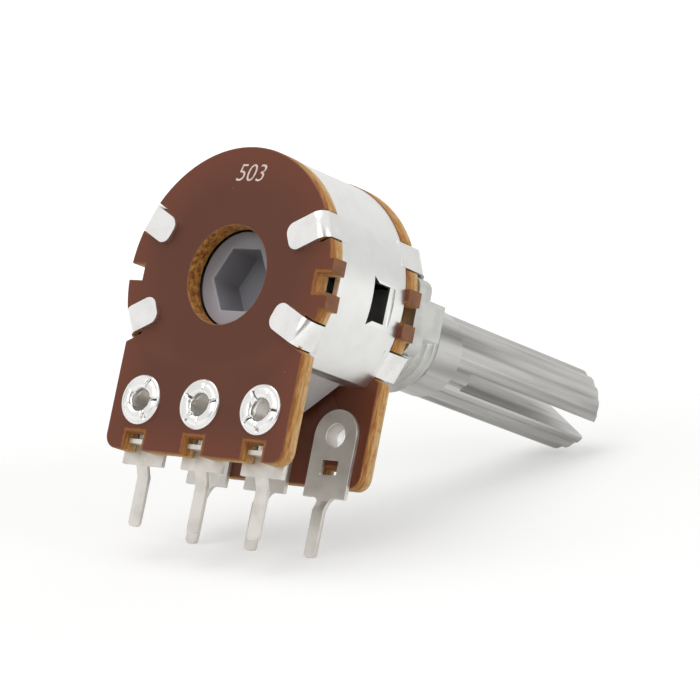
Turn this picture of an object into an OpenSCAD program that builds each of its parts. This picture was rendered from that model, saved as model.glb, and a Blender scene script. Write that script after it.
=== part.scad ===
// Dual-gang rotary potentiometer: two pin-terminal wafers clamped to a sheet-metal can,
// a die-cast mounting plate with a threaded bushing, and a knurled split shaft.
// Y runs along the shaft towards its tip, Z is up with the pins pointing down,
// and the origin is on the shaft axis at the face that goes against a panel.

/* [Wafers] */
// Thickness of each phenolic wafer
wafer_t = 1.2; // [1:0.05:1.6]
// Radius of the hole round the shaft axis
wafer_hole_r = 3.18; // [3.1:0.02:3.4]
// How far the round edge stands out beyond the can
wafer_rim = 0.05; // [0:0.05:0.6]
// How far the straight sides lie inside the round edge
wafer_waist = 0.85; // [0.4:0.05:1.2]
// How far a wafer reaches down beyond its rivets
wafer_foot = 3.2; // [3:0.05:3.6]
// Radius of the two bottom corners
wafer_corner_r = 0.9; // [0.3:0.05:1.5]
// How far the side lug stands out beyond the round edge
lug_reach = 0.25; // [0.15:0.05:1.4]
// Height of the side lug above the axis
wafer_lug_top = 1.4; // [1.1:0.05:1.8]
// Depth of the side lug below the axis
wafer_lug_bottom = 1.85; // [1.4:0.05:1.95]
// Height of the rectangular notch in the side lug
lug_notch_h = 1.2; // [1:0.05:2]
// Depth of that notch
lug_notch_l = 1.2; // [1:0.05:2]
// Height of the middle of that notch above the axis
lug_notch_z = -0.2; // [-0.4:0.05:0.4]
// Height of the small notch on the other side
side_notch_h = 1.07; // [0.6:0.05:1.6]
// Depth of the small notch, from the round edge
side_notch_l = 1.15; // [0.8:0.05:1.4]
// Height of the middle of the small notch above the axis
side_notch_z = -0.1; // [-0.4:0.05:0.4]

/* [Can] */
// Height of the can between the wafers
can_h = 6.4; // [5.8:0.1:8]
// Gap between the rotor and the round wall of the can
can_clear = 1.6; // [1.2:0.05:1.8]
// Thickness of the can sheet
can_t = 0.4; // [0.3:0.05:0.5]
// Distance of the flat shoulders below the axis
shoulder_z = 5.05; // [4.8:0.05:5.3]
// Gap between the rotor and the slanting lower walls
belly_clear = 0.3; // [0.2:0.05:0.5]
// Direction of the slanting lower walls, below horizontal
belly_angle = 52; // [48:1:56]
// Gap between the rotor and the floor of the can
floor_clear = 0.65; // [0.5:0.05:0.8]
// Gap between the lower walls and each wafer, which clears the terminals
belly_gap = 0.45; // [0.4:0.05:0.8]

/* [Folded tabs] */
// Width of a folded tab
tab_w = 1.8; // [1.4:0.05:2]
// Direction of the tabs above and below horizontal
tab_angle = 25.5; // [24:0.5:28]
// Inside radius of a tab's bend
tab_bend_r = 0.35; // [0.2:0.05:0.45]
// Gap between a tab and the slot that it passes through
tab_clear = 0.1; // [0.08:0.01:0.14]
// How far the rear tabs on the lug side reach in from the can wall
rear_tab_near_l = 2.9; // [1.8:0.05:3.4]
// How far the rear tabs on the other side reach in from the can wall
rear_tab_far_l = 2.65; // [1.8:0.05:3.4]
// How far the front tabs reach in from the can wall
front_tab_l = 2.6; // [1.8:0.05:3.4]
// Radius of the tip corners
tab_corner_r = 0.65; // [0.2:0.05:0.65]

/* [Rotation stop] */
// Direction of the middle of the window and the tongue, above horizontal
window_angle = -1; // [-4:0.5:4]
// Length along the shaft of the window lanced in the can
window_l = 2.1; // [1.8:0.05:2.4]
// Height of the window
window_h = 2.4; // [2.2:0.05:3]
// Height of the pointed shear cuts at the rear corners of the window
shear_h = 0.35; // [0.1:0.05:0.5]
// Length of those cuts along the shaft
shear_l = 0.5; // [0.2:0.05:0.8]
// Distance from the front edge of the can to the bent side of the window
window_back = 1; // [0.8:0.05:1.4]
// Width of the tongue bent inwards from the window
tongue_w = 2.1; // [1.8:0.05:2.2]
// How far the tongue reaches in over the rim of the rotor
tongue_reach = 0.3; // [0.2:0.01:0.35]
// Total turn between the stops, in degrees
travel = 300; // [260:5:310]
// Gap between tongue and rotor stop at each end of the turn
stop_gap = 0.04; // [0.02:0.01:0.1]

/* [Mounting plate] */
// Thickness of the plate
plate_t = 1.2; // [1:0.05:1.6]
// Gap between the round edge of the plate and the bends of the folded tabs
plate_inset = 0.1; // [0.05:0.05:0.3]
// Distance from the axis to the lower edge of the plate
plate_drop = 5.6; // [5.1:0.05:6]
// How far the side ear stands out beyond the round edge of the plate
ear_reach = 0.9; // [0.7:0.05:1.1]
// Half height of the side ear
ear_half_h = 2.5; // [2.2:0.05:2.6]
// Corner radius of the side ear
ear_corner_r = 0.8; // [0.4:0.05:1]
// Width of the locating lug that keys the body to a panel
key_w = 2.4; // [2:0.1:3]
// Thickness of the locating lug
key_t = 1.2; // [0.8:0.05:1.6]
// Length of the locating lug in front of the plate
key_l = 1.6; // [1:0.1:2.5]

/* [Bushing] */
// Major radius of the bushing thread
bushing_r = 3.5; // [3.4:0.05:3.6]
// Length of the bushing in front of the plate
bushing_l = 8; // [6:0.5:10]
// Chamfer at the end of the bushing
bushing_chamfer = 0.4; // [0.2:0.05:0.5]

/* [Shaft] */
// Radius of the shaft outside the bushing
shaft_r = 3; // [2.9:0.05:3.1]
// Distance from the panel face to the tip of the shaft
shaft_tip = 27.5; // [22:0.5:35]
// Radius over the knurl ridges
knurl_r = 2.97; // [2.85:0.01:3.05]
// Length of the knurled end
knurl_l = 16.8; // [10:0.1:17]
// Depth of the knurl grooves
knurl_depth = 0.17; // [0.12:0.01:0.3]
// Number of knurl teeth
knurl_count = 18; // [16:2:20]
// Width of a ridge as a share of one tooth
knurl_ridge = 0.28; // [0.1:0.02:0.5]
// Width of the floor of a groove as a share of one tooth
knurl_floor = 0.16; // [0.04:0.02:0.3]
// Chamfer at the tip
tip_chamfer = 0.55; // [0.3:0.05:0.8]
// Width of the slot that splits the knurled end
slot_w = 1.4; // [0.8:0.05:1.6]
// Depth of that slot from the tip
slot_l = 15; // [8:0.5:16]
// Direction of the slot in the stored position, above horizontal
slot_angle = -32; // [-90:1:90]
// Radius of the stretch that turns in the bushing
journal_r = 2.5; // [2.3:0.05:2.55]
// Gap all round between that stretch and the bushing bore
journal_clear = 0.05; // [0.03:0.01:0.08]
// End play between the shaft shoulder and the bushing
shoulder_gap = 0.15; // [0.05:0.05:0.3]
// Radius of the end that drives the rotor
tang_r = 2.2; // [2:0.05:2.25]
// Distance across the two flats of that end
tang_flats = 3.4; // [2.8:0.1:3.8]
// Length of that end inside the rotor
tang_l = 3.2; // [2:0.1:3.4]

/* [Retaining ring] */
// Thickness of the ring
ring_t = 0.5; // [0.4:0.05:0.55]
// Gap between the ring and the hole of the front wafer
ring_clear = 0.27; // [0.2:0.01:0.4]
// Radius of the shaft groove that holds the ring
groove_r = 1.95; // [1.8:0.05:2.1]
// Opening angle of the ring
ring_open = 70; // [50:5:90]
// Gap between the ring and the plate
ring_gap = 0.05; // [0.03:0.01:0.08]

/* [Rotor] */
// How far the rotor disc reaches out beyond the resistive track
rotor_rim = 0.55; // [0.45:0.05:0.7]
// Thickness of the rotor disc
rotor_t = 2.4; // [2:0.1:2.8]
// Gap all round between the rotor hubs and the wafer holes
hub_clear = 0.08; // [0.04:0.01:0.1]
// How far the front hub enters its wafer
front_hub_entry = 0.45; // [0.3:0.05:0.5]
// Gap between the rear hub and the inner face of its wafer
rear_hub_gap = 0.1; // [0.05:0.05:0.3]
// Corner radius of the hexagonal recess at the back
hex_r = 2.27; // [1.8:0.01:2.4]
// Depth of the hexagonal recess
hex_depth = 2.5; // [1:0.1:2.7]
// Radial width of the stop on the rotor rim
stop_width = 0.9; // [0.6:0.05:1.1]
// Height of that stop above the disc
stop_h = 1.25; // [1.1:0.05:1.3]

/* [Printed tracks and wipers] */
// Thickness of the printed layers
print_t = 0.06; // [0.04:0.01:0.1]
// Width of the resistive track
track_w = 0.9; // [0.7:0.05:1]
// Gap between the wafer hole and the collector ring
collector_margin = 0.425; // [0.3:0.005:0.5]
// Gap between the collector ring and the resistive track
print_gap = 0.395; // [0.3:0.005:0.6]
// Width of the collector ring
collector_w = 0.75; // [0.5:0.05:0.9]
// Width of the printed leads to the terminals
lead_w = 1.4; // [1:0.1:1.6]
// Half angle of the gap in the resistive track
track_gap = 33; // [30:1:36]
// Angle that each silver end pad covers
pad_angle = 11; // [6:1:14]
// Thickness of the wiper spring sheet
wiper_t = 0.15; // [0.1:0.01:0.2]
// Width of a wiper finger
finger_w = 0.6; // [0.4:0.05:0.65]
// Distance from a contact to the root of its finger
finger_l = 1.3; // [1:0.05:1.6]
// Width of the flat contact
contact_w = 0.3; // [0.1:0.05:0.5]
// Length of the turned-up nose beyond the middle of the contact
nose_l = 0.8; // [0.5:0.05:1]
// Height of the nose
nose_h = 0.5; // [0.3:0.05:0.7]
// Width of the bar that joins the two fingers
bar_w = 0.45; // [0.3:0.05:0.6]
// Gap between a wiper contact and its track
wiper_gap = 0.05; // [0.03:0.01:0.1]

/* [Terminals] */
// Distance between neighbouring terminals
pitch = 5; // [4.8:0.1:5]
// Distance of the rivets below the floor of the can
rivet_drop = 1.05; // [0.9:0.05:1.3]
// Thickness of the terminal sheet
term_t = 0.3; // [0.2:0.05:0.35]
// Half width of a terminal body, and radius of its round head
term_half_w = 1.7; // [1.5:0.05:1.8]
// How far a terminal body reaches down beyond its wafer
term_foot = 0.75; // [0.5:0.05:1.2]
// Radius of the hole through a rivet
rivet_bore_r = 0.75; // [0.6:0.05:0.8]
// Outer radius of the drawn rivet tube
rivet_r = 1; // [0.9:0.05:1.1]
// Radius of the flared end of the rivet
flare_r = 1.5; // [1.4:0.02:1.7]
// Height of the flared end
flare_h = 0.3; // [0.2:0.02:0.36]
// Radius of the crest of the flared end
flare_crest_r = 1.2; // [1.1:0.02:1.36]
// Thickness of the rim of the flared end
flare_rim_t = 0.1; // [0.06:0.01:0.16]
// Width of the window in a terminal and of the hook bent from it
hook_w = 1.3; // [1:0.05:1.4]
// Height of the window, which is the length of the hook
hook_l = 0.9; // [0.7:0.05:1]
// Height of the top of the hook above the bottom edge of its wafer
hook_rise = 0.75; // [0.6:0.05:0.8]
// Gap between the sides of a hook and the wafer notch that it passes through
hook_clear = 0.1; // [0.05:0.01:0.15]
// Gap above a hook in that notch
hook_room = 0.4; // [0.1:0.05:0.5]
// Width of a pin
pin_w = 0.9; // [0.8:0.05:1.2]
// Length of a pin below the terminal body
pin_l = 3.85; // [3:0.05:6]
// Radius of the corners at the tip of a pin
pin_tip_r = 0.3; // [0.1:0.05:0.35]
// Sideways step of a pin towards the other row
pin_step = 0.3; // [0.2:0.05:0.6]
// Height over which a pin steps sideways
step_h = 0.65; // [0.5:0.05:1]
// Radius of the fillets at the root of a front pin
front_fillet = 0.4; // [0.2:0.05:0.5]
// Radius of the fillets at the root of a rear pin
rear_fillet = 0.1; // [0.1:0.05:0.5]

/* [Hidden] */
$fn = 64;

// Far is longer than anything that it has to cut, and eps makes cuts run past a face
far = 40;
eps = 0.02;

// Stack along the shaft, from the panel face backwards
plate_rear = -plate_t;
front_inner = plate_rear - wafer_t;
rear_inner = front_inner - can_h;
rear_face = rear_inner - wafer_t;
middle = (front_inner + rear_inner) / 2;

// Radii from the wafer hole outwards: printed rings, rotor, can, wafers and plate
collector_r = wafer_hole_r + collector_margin + collector_w / 2;
track_r = collector_r + collector_w / 2 + print_gap + track_w / 2;
rotor_r = track_r + track_w / 2 + rotor_rim;
tongue_tip = rotor_r - tongue_reach;
can_inner_r = rotor_r + can_clear;
can_r = can_inner_r + can_t;
belly_r = rotor_r + belly_clear + can_t;
belly_z = rotor_r + floor_clear + can_t;
wafer_r = can_r + wafer_rim;
wafer_half_w = wafer_r - wafer_waist;
wafer_lug_x = wafer_r + lug_reach;
lug_notch_x = wafer_lug_x - lug_notch_l;
side_notch_x = wafer_r - side_notch_l;
bend_x = can_inner_r - tab_bend_r;
plate_r = bend_x - plate_inset;
ear_x = plate_r + ear_reach;
ring_r = wafer_hole_r - ring_clear;

// Heights from the floor of the can downwards: rivets, wafer edge, terminal bodies and pins
rivet_z = belly_z + rivet_drop;
wafer_drop = rivet_z + wafer_foot;
hook_z = wafer_drop - hook_rise;
term_drop = wafer_drop + term_foot;
pin_drop = term_drop + pin_l;

// Places that follow from the tabs
rear_tab_tip_near = can_r - rear_tab_near_l;
rear_tab_tip_far = can_r - rear_tab_far_l;
front_tab_tip = can_r - front_tab_l;
slot_floor_r = bend_x - tab_clear;
slot_width = tab_w + 2 * tab_clear;
tab_angles = [tab_angle, 180 - tab_angle, 180 + tab_angle, -tab_angle];

// Places that follow from the rotor and its stop
hub_r = wafer_hole_r - hub_clear;
disc_front = middle + rotor_t / 2;
disc_rear = middle - rotor_t / 2;
hub_front = front_inner + front_hub_entry;
hub_rear = rear_inner + rear_hub_gap;
tongue_front = front_inner - window_back;
stop_turn = 180 - travel / 2;
stop_at = window_angle - stop_turn;
stop_half = stop_turn - asin((tongue_w / 2 + stop_gap) / tongue_tip);
wiper_at = stop_at - 90;

// Places that follow from the shaft
ring_front = plate_rear - ring_gap;
ring_rear = ring_front - ring_t;
shoulder_y = bushing_l + shoulder_gap;
knurl_start = shaft_tip - knurl_l;

terminal_x = [-pitch, 0, pitch];

// A flat outline drawn in X and Z, given a thickness backwards from front_y
module plate_at(front_y, thick) {
    translate([0, front_y, 0]) rotate([90, 0, 0]) linear_extrude(thick) children();
}

// A profile of radius and Y turned about the shaft axis
module turned() {
    rotate([-90, 0, 0]) rotate_extrude() children();
}

// A child standing along X, turned to an angle about the shaft axis
module at_angle(angle) {
    rotate([0, -angle, 0]) children();
}

// A wedge with its point on the axis, up to just under a half turn wide
module wedge(from, to) {
    mid = (from + to) / 2;
    polygon([
        [0, 0],
        far * [cos(from), sin(from)],
        far * [cos(mid), sin(mid)],
        far * [cos(to), sin(to)]
    ]);
}

module ring_2d(mean_r, width) {
    difference() {
        circle(r = mean_r + width / 2);
        circle(r = mean_r - width / 2);
    }
}

// Slots in the edge of a wafer or of the plate, where the tabs pass
module tab_slots() {
    for (a = tab_angles)
        rotate(a) translate([slot_floor_r, -slot_width / 2]) square([far, slot_width]);
}

module rounded_bottom(half_w, bottom, top, r) {
    translate([-half_w, bottom + r]) square([2 * half_w, top - bottom - r]);
    translate([-half_w + r, bottom]) square([2 * (half_w - r), r + eps]);
    for (s = [-1, 1])
        translate([s * (half_w - r), bottom + r]) circle(r = r);
}

module wafer_outline() {
    difference() {
        union() {
            circle(r = wafer_r);
            rounded_bottom(wafer_half_w, -wafer_drop, -can_r * sin(tab_angle), wafer_corner_r);
            translate([0, -wafer_lug_bottom]) square([wafer_lug_x, wafer_lug_bottom + wafer_lug_top]);
        }
        circle(r = wafer_hole_r);
        tab_slots();
        translate([lug_notch_x, lug_notch_z - lug_notch_h / 2]) square([far, lug_notch_h]);
        translate([-side_notch_x - far, side_notch_z - side_notch_h / 2]) square([far, side_notch_h]);
        for (x = terminal_x) {
            translate([x, -rivet_z]) circle(r = rivet_r);
            translate([x - hook_w / 2 - hook_clear, -wafer_drop - eps])
                square([hook_w + 2 * hook_clear, wafer_drop - hook_z + hook_room + eps]);
        }
    }
}

module front_wafer() {
    color("#6e4034") plate_at(plate_rear, wafer_t) wafer_outline();
}

module rear_wafer() {
    color("#6e4034") plate_at(rear_inner, wafer_t) wafer_outline();
}

// Outline of the can, drawn in by inset to give its inner face
module can_outline(inset) {
    reach = belly_r - inset;
    intersection() {
        circle(r = can_r - inset);
        translate([-far / 2, -shoulder_z + inset]) square([far, far]);
    }
    intersection() {
        translate([-far / 2, -belly_z + inset]) square([far, belly_z - shoulder_z + can_t]);
        rotate(-belly_angle) translate([reach - far, -far]) square([far, 2 * far]);
        rotate(belly_angle - 180) translate([reach - far, -far]) square([far, 2 * far]);
    }
}

module can_wall_2d() {
    difference() {
        can_outline(0);
        can_outline(can_t);
    }
}

// Side view of a tab: up along the can wall by rise, then bent in to tip_r
module tab_profile(rise, tip_r) {
    bend_y = rise - tab_bend_r;
    translate([can_inner_r, -can_t]) square([can_t, can_t + bend_y]);
    translate([tip_r, rise]) square([bend_x - tip_r, can_t]);
    translate([bend_x, bend_y]) intersection() {
        difference() {
            circle(r = tab_bend_r + can_t);
            circle(r = tab_bend_r);
        }
        square(tab_bend_r + can_t);
    }
}

module tab_plan(tip_r) {
    translate([tip_r + tab_corner_r, -tab_w / 2]) square([far, tab_w]);
    translate([tip_r, -tab_w / 2 + tab_corner_r]) square([far, tab_w - 2 * tab_corner_r]);
    for (s = [-1, 1])
        translate([tip_r + tab_corner_r, s * (tab_w / 2 - tab_corner_r)]) circle(r = tab_corner_r);
}

module tab(rise, tip_r) {
    intersection() {
        linear_extrude(tab_w, center = true) tab_profile(rise, tip_r);
        translate([0, far / 2, 0]) rotate([90, 0, 0]) linear_extrude(far) tab_plan(tip_r);
    }
}

// Outline of the lanced window, along the shaft and up, with its front side at 0
module window_2d() {
    rear = -window_l;
    top = window_h / 2;
    polygon([
        [0, top],
        [rear + shear_l, top],
        [rear, top + shear_h],
        [rear, -top - shear_h],
        [rear + shear_l, -top],
        [0, -top]
    ]);
}

module can() {
    color("#d6d6d3") {
        difference() {
            plate_at(front_inner, can_h) can_wall_2d();
            // The lower walls stay clear of both wafers
            for (y = [front_inner, rear_inner])
                translate([-far / 2, y - belly_gap, -far - shoulder_z - eps])
                    cube([far, 2 * belly_gap, far]);
            at_angle(window_angle) translate([0, tongue_front, 0])
                rotate([90, 0, 90]) linear_extrude(far) window_2d();
        }
        // The tongue is bent inwards along the front side of the window
        at_angle(window_angle) translate([tongue_tip, tongue_front - can_t, -tongue_w / 2])
            cube([can_inner_r - tongue_tip + can_t / 2, can_t, tongue_w]);
        at_angle(window_angle) translate([can_inner_r, tongue_front - can_t, -window_h / 2])
            cube([can_t / 2, can_t, window_h]);
        for (a = tab_angles) {
            at_angle(a) translate([0, front_inner, 0])
                tab(wafer_t + plate_t - can_t, front_tab_tip);
            at_angle(a) translate([0, rear_inner, 0]) mirror([0, 1, 0])
                tab(wafer_t, cos(a) > 0 ? rear_tab_tip_near : rear_tab_tip_far);
        }
    }
}

module plate_outline() {
    ear_core = ear_x - ear_corner_r;
    difference() {
        union() {
            intersection() {
                circle(r = plate_r);
                translate([-far / 2, -plate_drop]) square([far, far]);
            }
            translate([0, -ear_half_h + ear_corner_r])
                square([ear_x, 2 * (ear_half_h - ear_corner_r)]);
            translate([0, -ear_half_h]) square([ear_core, 2 * ear_half_h]);
            for (s = [-1, 1])
                translate([ear_core, s * (ear_half_h - ear_corner_r)]) circle(r = ear_corner_r);
        }
        tab_slots();
    }
}

module mounting_plate() {
    seat = front_tab_tip - tab_clear;
    plate_middle = -plate_t / 2;
    color("#b4b2b4") difference() {
        union() {
            plate_at(0, plate_t) plate_outline();
            translate([ear_x - key_t, -eps, -key_w / 2]) cube([key_t, key_l + eps, key_w]);
            turned() polygon([
                [0, plate_middle],
                [bushing_r, plate_middle],
                [bushing_r, bushing_l - bushing_chamfer],
                [bushing_r - bushing_chamfer, bushing_l],
                [0, bushing_l]
            ]);
        }
        translate([0, -far / 2, 0]) rotate([-90, 0, 0]) cylinder(r = journal_r + journal_clear, h = far);
        // Seats that let the folded tabs lie flush with the panel face
        for (a = tab_angles)
            at_angle(a) translate([seat, -can_t, -slot_width / 2])
                cube([far, far, slot_width]);
    }
}

// Printed layers are given their outline without the terminals that lie on them
module printed(inner_face, side) {
    plate_at(side > 0 ? inner_face + print_t : inner_face, print_t) difference() {
        children();
        for (x = terminal_x) {
            translate([x, -rivet_z]) circle(r = term_half_w);
            translate([x - term_half_w, -far]) square([2 * term_half_w, far - rivet_z]);
        }
    }
}

module track_2d() {
    difference() {
        ring_2d(track_r, track_w);
        wedge(-90 - track_gap, -90 + track_gap);
    }
}

module collector_2d() {
    ring_2d(collector_r, collector_w);
    translate([-lead_w / 2, -rivet_z]) square([lead_w, rivet_z - collector_r]);
}

module end_pads_2d() {
    for (s = [0, 1]) mirror([s, 0]) {
        start = [track_r * cos(-90 + track_gap - pad_angle / 2),
                 track_r * sin(-90 + track_gap - pad_angle / 2)];
        run = [pitch, -rivet_z] - start;
        intersection() {
            ring_2d(track_r, track_w);
            wedge(-90 + track_gap - pad_angle, -90 + track_gap);
        }
        difference() {
            translate(start) rotate(atan2(run[1], run[0])) translate([0, -lead_w / 2])
                square([norm(run), lead_w]);
            circle(r = track_r);
        }
    }
}

module front_resistive_track() { color("#1c1b1a") printed(front_inner, -1) track_2d(); }
module front_collector_ring() { color("#c9c9c4") printed(front_inner, -1) collector_2d(); }
module front_end_pads() { color("#c9c9c4") printed(front_inner, -1) end_pads_2d(); }
module rear_resistive_track() { color("#1c1b1a") printed(rear_inner, 1) track_2d(); }
module rear_collector_ring() { color("#c9c9c4") printed(rear_inner, 1) collector_2d(); }
module rear_end_pads() { color("#c9c9c4") printed(rear_inner, 1) end_pads_2d(); }

// Front view of a terminal, with its rivet at the height of the rivet row
module terminal_face(fillet) {
    pin_top = -term_drop;
    translate([0, -rivet_z]) circle(r = term_half_w);
    translate([-term_half_w, pin_top]) square([2 * term_half_w, term_drop - rivet_z]);
    rounded_bottom(pin_w / 2, -pin_drop, pin_top + eps, pin_tip_r);
    for (s = [0, 1]) mirror([s, 0]) difference() {
        translate([pin_w / 2 - eps, pin_top - fillet]) square([fillet + eps, fillet + eps]);
        translate([pin_w / 2 + fillet, pin_top - fillet]) circle(r = fillet);
    }
}

// Side view of a terminal: a flat body, then a pin that steps away from its wafer
module terminal_side(fillet) {
    step_top = -term_drop - fillet / 2;
    polygon([
        [0, 0],
        [term_t, 0],
        [term_t, step_top],
        [term_t + pin_step, step_top - step_h],
        [term_t + pin_step, -far],
        [pin_step, -far],
        [pin_step, step_top - step_h],
        [0, step_top]
    ]);
}

// A terminal on a wafer face at Y = 0, with its rivet pointing to -Y
module terminal(fillet) {
    color("#cfcfca") difference() {
        union() {
            intersection() {
                translate([0, far / 2, 0]) rotate([90, 0, 0]) linear_extrude(far) terminal_face(fillet);
                rotate([90, 0, 90]) linear_extrude(far, center = true) terminal_side(fillet);
            }
            translate([0, 0, -rivet_z]) turned() polygon([
                [0, term_t / 2],
                [rivet_r, term_t / 2],
                [rivet_r, -wafer_t],
                [flare_r, -wafer_t],
                [flare_r, -wafer_t - flare_rim_t],
                [flare_crest_r, -wafer_t - flare_h],
                [0, -wafer_t - flare_h]
            ]);
            translate([-hook_w / 2, -hook_l, -hook_z - term_t]) cube([hook_w, hook_l + term_t, term_t]);
        }
        translate([0, 0, -rivet_z]) turned() polygon([
            [0, term_t + eps],
            [rivet_bore_r, term_t + eps],
            [rivet_bore_r, -wafer_t],
            [flare_crest_r, -wafer_t - flare_h],
            [flare_crest_r, -wafer_t - flare_h - eps],
            [0, -wafer_t - flare_h - eps]
        ]);
        translate([-hook_w / 2, -eps, -hook_z]) cube([hook_w, term_t + 2 * eps, hook_l]);
    }
}

module front_terminal(i) {
    translate([terminal_x[i], front_inner, 0]) mirror([0, 1, 0]) terminal(front_fillet);
}

module rear_terminal(i) {
    translate([terminal_x[i], rear_inner, 0]) terminal(rear_fillet);
}

// Cross-section of the knurl, with a ridge on the X axis
function knurl_points() = [
    for (i = [0 : knurl_count - 1])
        let (step = 360 / knurl_count, a = i * step, ridge = knurl_ridge * step / 2)
        let (floor_a = a + (1 - knurl_floor) * step / 2, floor_b = a + (1 + knurl_floor) * step / 2)
            each [
                knurl_r * [cos(a - ridge), sin(a - ridge)],
                knurl_r * [cos(a + ridge), sin(a + ridge)],
                (knurl_r - knurl_depth) * [cos(floor_a), sin(floor_a)],
                (knurl_r - knurl_depth) * [cos(floor_b), sin(floor_b)]
            ]
];

module shaft() {
    tang_end = hub_front - tang_l;
    knurl_root = knurl_start - knurl_depth;
    color("#b4b4b0") difference() {
        union() {
            turned() polygon([
                [0, ring_rear],
                [groove_r, ring_rear],
                [groove_r, ring_front],
                [journal_r, ring_front],
                [journal_r, shoulder_y],
                [shaft_r, shoulder_y],
                [shaft_r, knurl_start],
                [0, knurl_start]
            ]);
            turned() polygon([
                [0, hub_front],
                [tang_r, hub_front],
                [tang_r, ring_rear],
                [0, ring_rear]
            ]);
            intersection() {
                translate([0, tang_end, 0]) rotate([-90, 0, 0])
                    cylinder(r = tang_r, h = hub_front - tang_end);
                at_angle(slot_angle) translate([-far / 2, tang_end, -tang_flats / 2])
                    cube([far, far, tang_flats]);
            }
            intersection() {
                at_angle(slot_angle) plate_at(shaft_tip, knurl_l + knurl_depth)
                    polygon(knurl_points());
                turned() polygon([
                    [0, knurl_root],
                    [knurl_r + eps, knurl_root],
                    [knurl_r + eps, shaft_tip - tip_chamfer],
                    [knurl_r - tip_chamfer, shaft_tip],
                    [0, shaft_tip]
                ]);
            }
        }
        at_angle(slot_angle) translate([-far / 2, shaft_tip - slot_l, -slot_w / 2])
            cube([far, far, slot_w]);
    }
}

module retaining_ring() {
    color("#8f8f8c") plate_at(ring_front, ring_t) difference() {
        circle(r = ring_r);
        circle(r = groove_r);
        wedge(-ring_open / 2, ring_open / 2);
    }
}

module rotor() {
    stop_inner = rotor_r - stop_width;
    color("#8d8a93") difference() {
        union() {
            turned() polygon([
                [0, hub_rear],
                [hub_r, hub_rear],
                [hub_r, disc_rear],
                [rotor_r, disc_rear],
                [rotor_r, disc_front],
                [hub_r, disc_front],
                [hub_r, hub_front],
                [0, hub_front]
            ]);
            plate_at(disc_front + stop_h, stop_h + eps) intersection() {
                difference() {
                    circle(r = rotor_r);
                    circle(r = stop_inner);
                }
                wedge(stop_at - stop_half, stop_at + stop_half);
            }
        }
        intersection() {
            translate([0, hub_front - tang_l, 0]) rotate([-90, 0, 0])
                cylinder(r = tang_r, h = far);
            at_angle(slot_angle) translate([-far / 2, hub_front - tang_l, -tang_flats / 2])
                cube([far, far, tang_flats]);
        }
        translate([0, hub_rear - eps, 0]) rotate([-90, 0, 0])
            cylinder(r = hex_r, h = hex_depth + eps, $fn = 6);
    }
}

// Side view of a wiper finger: it rises from the disc at Y = 0 to the track at Y = rise
module finger_side(rise) {
    contact = contact_w / 2;
    polygon([
        [-finger_l - bar_w, 0],
        [-finger_l, 0],
        [-contact, rise - wiper_t],
        [contact, rise - wiper_t],
        [nose_l, rise - wiper_t - nose_h],
        [nose_l, rise - nose_h],
        [contact, rise],
        [-contact, rise],
        [-finger_l, wiper_t],
        [-finger_l - bar_w, wiper_t]
    ]);
}

// A wiper on a disc face at Y = 0, with its contacts on the X axis
module wiper() {
    rise = (can_h - rotor_t) / 2 - print_t - wiper_gap;
    inner = collector_r - finger_w / 2;
    color("#c8a865") {
        for (r = [collector_r, track_r])
            translate([r - finger_w / 2, 0, 0]) rotate([0, -90, 180]) mirror([0, 1, 0])
                linear_extrude(finger_w) finger_side(rise);
        translate([inner, 0, -finger_l - bar_w])
            cube([track_r - collector_r + finger_w, wiper_t, bar_w]);
    }
}

module front_wiper() {
    at_angle(wiper_at) translate([0, disc_front, 0]) wiper();
}

module rear_wiper() {
    at_angle(wiper_at) translate([0, disc_rear, 0]) mirror([0, 1, 0]) wiper();
}

mounting_plate();
front_wafer();
rear_wafer();
can();
front_resistive_track();
front_collector_ring();
front_end_pads();
rear_resistive_track();
rear_collector_ring();
rear_end_pads();
front_terminal(0);  // front_terminal_1
front_terminal(1);  // front_terminal_2
front_terminal(2);  // front_terminal_3
rear_terminal(0);  // rear_terminal_1
rear_terminal(1);  // rear_terminal_2
rear_terminal(2);  // rear_terminal_3
shaft();
retaining_ring();
rotor();
front_wiper();
rear_wiper();
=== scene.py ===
# %% [markdown]
# This notebook dresses a dual-gang rotary potentiometer. The CAD model gives every piece its
# true place and size, so nothing here is moved: pieces are copied, softened and finished, and
# the details that a machinist or a press leaves are modelled on top. Lengths are typed in
# millimetres, and MM turns them to Blender's metres.

# %% Load the frame
import math
import random

import bmesh
import bpy
from mathutils import Matrix, Vector


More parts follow.
